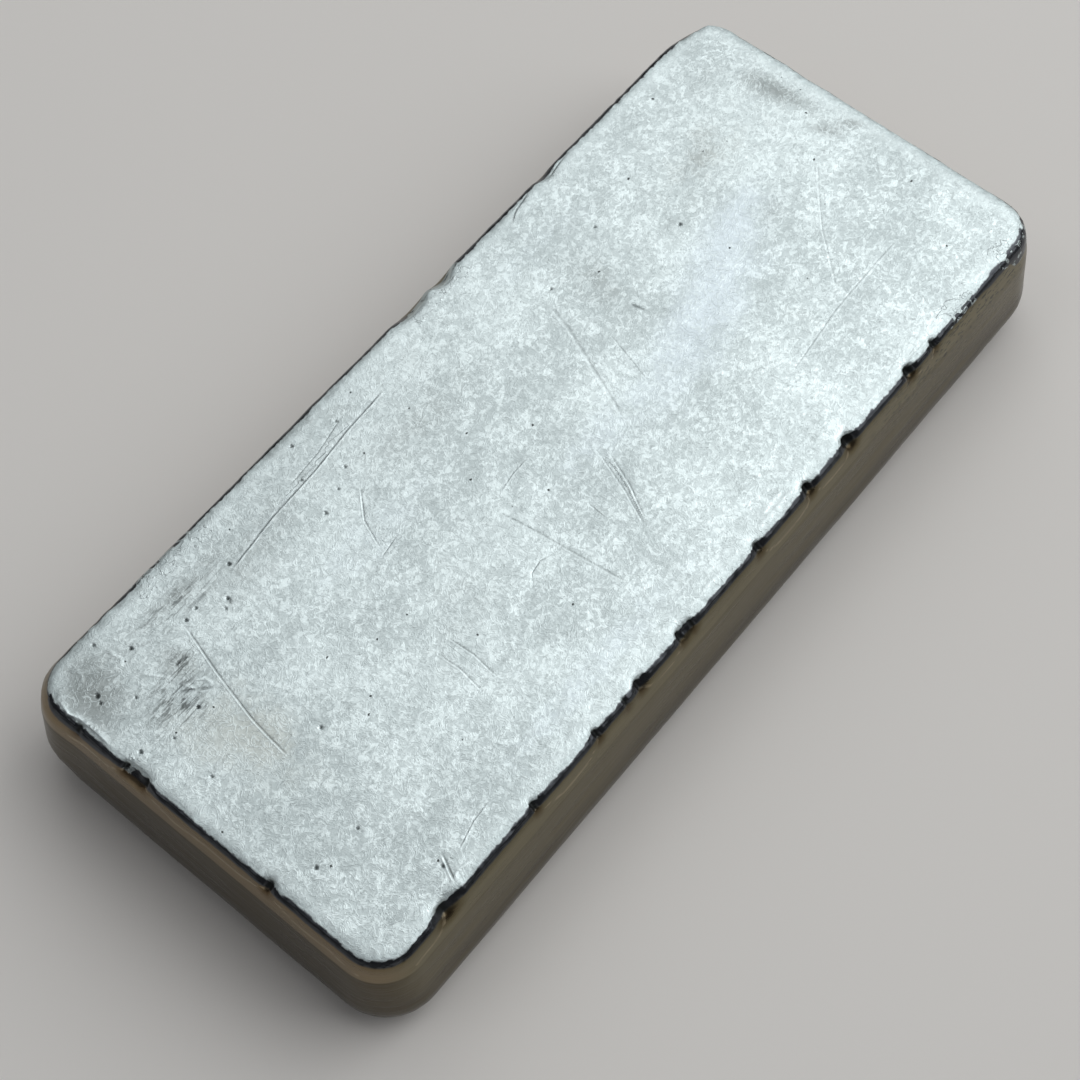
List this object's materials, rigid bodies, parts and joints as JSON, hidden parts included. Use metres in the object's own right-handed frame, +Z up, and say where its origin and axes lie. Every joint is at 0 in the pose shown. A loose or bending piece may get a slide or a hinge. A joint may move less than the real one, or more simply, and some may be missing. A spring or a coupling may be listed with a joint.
{
  "type": "metal ingot",
  "caption": "Hand-size cast bar of soft white metal with drafted walls, full poured corners, a knocked rim and flat faces that it rests and stacks on",
  "frame": {"origin": "centre of the bounding box's underside, on the floor that the bar lies on", "axes": "+X along the bar, towards the end that is far in the picture; +Y across it; +Z up, out of the scuffed upper face"},
  "size_m": [0.1334, 0.0594, 0.0183],
  "materials": {
    "cast_tin": "satin, as cast, with brown tarnished walls"
  },
  "bodies": {
    "root": {"ingot": "cast_tin"}
  },
  "joints": []
}
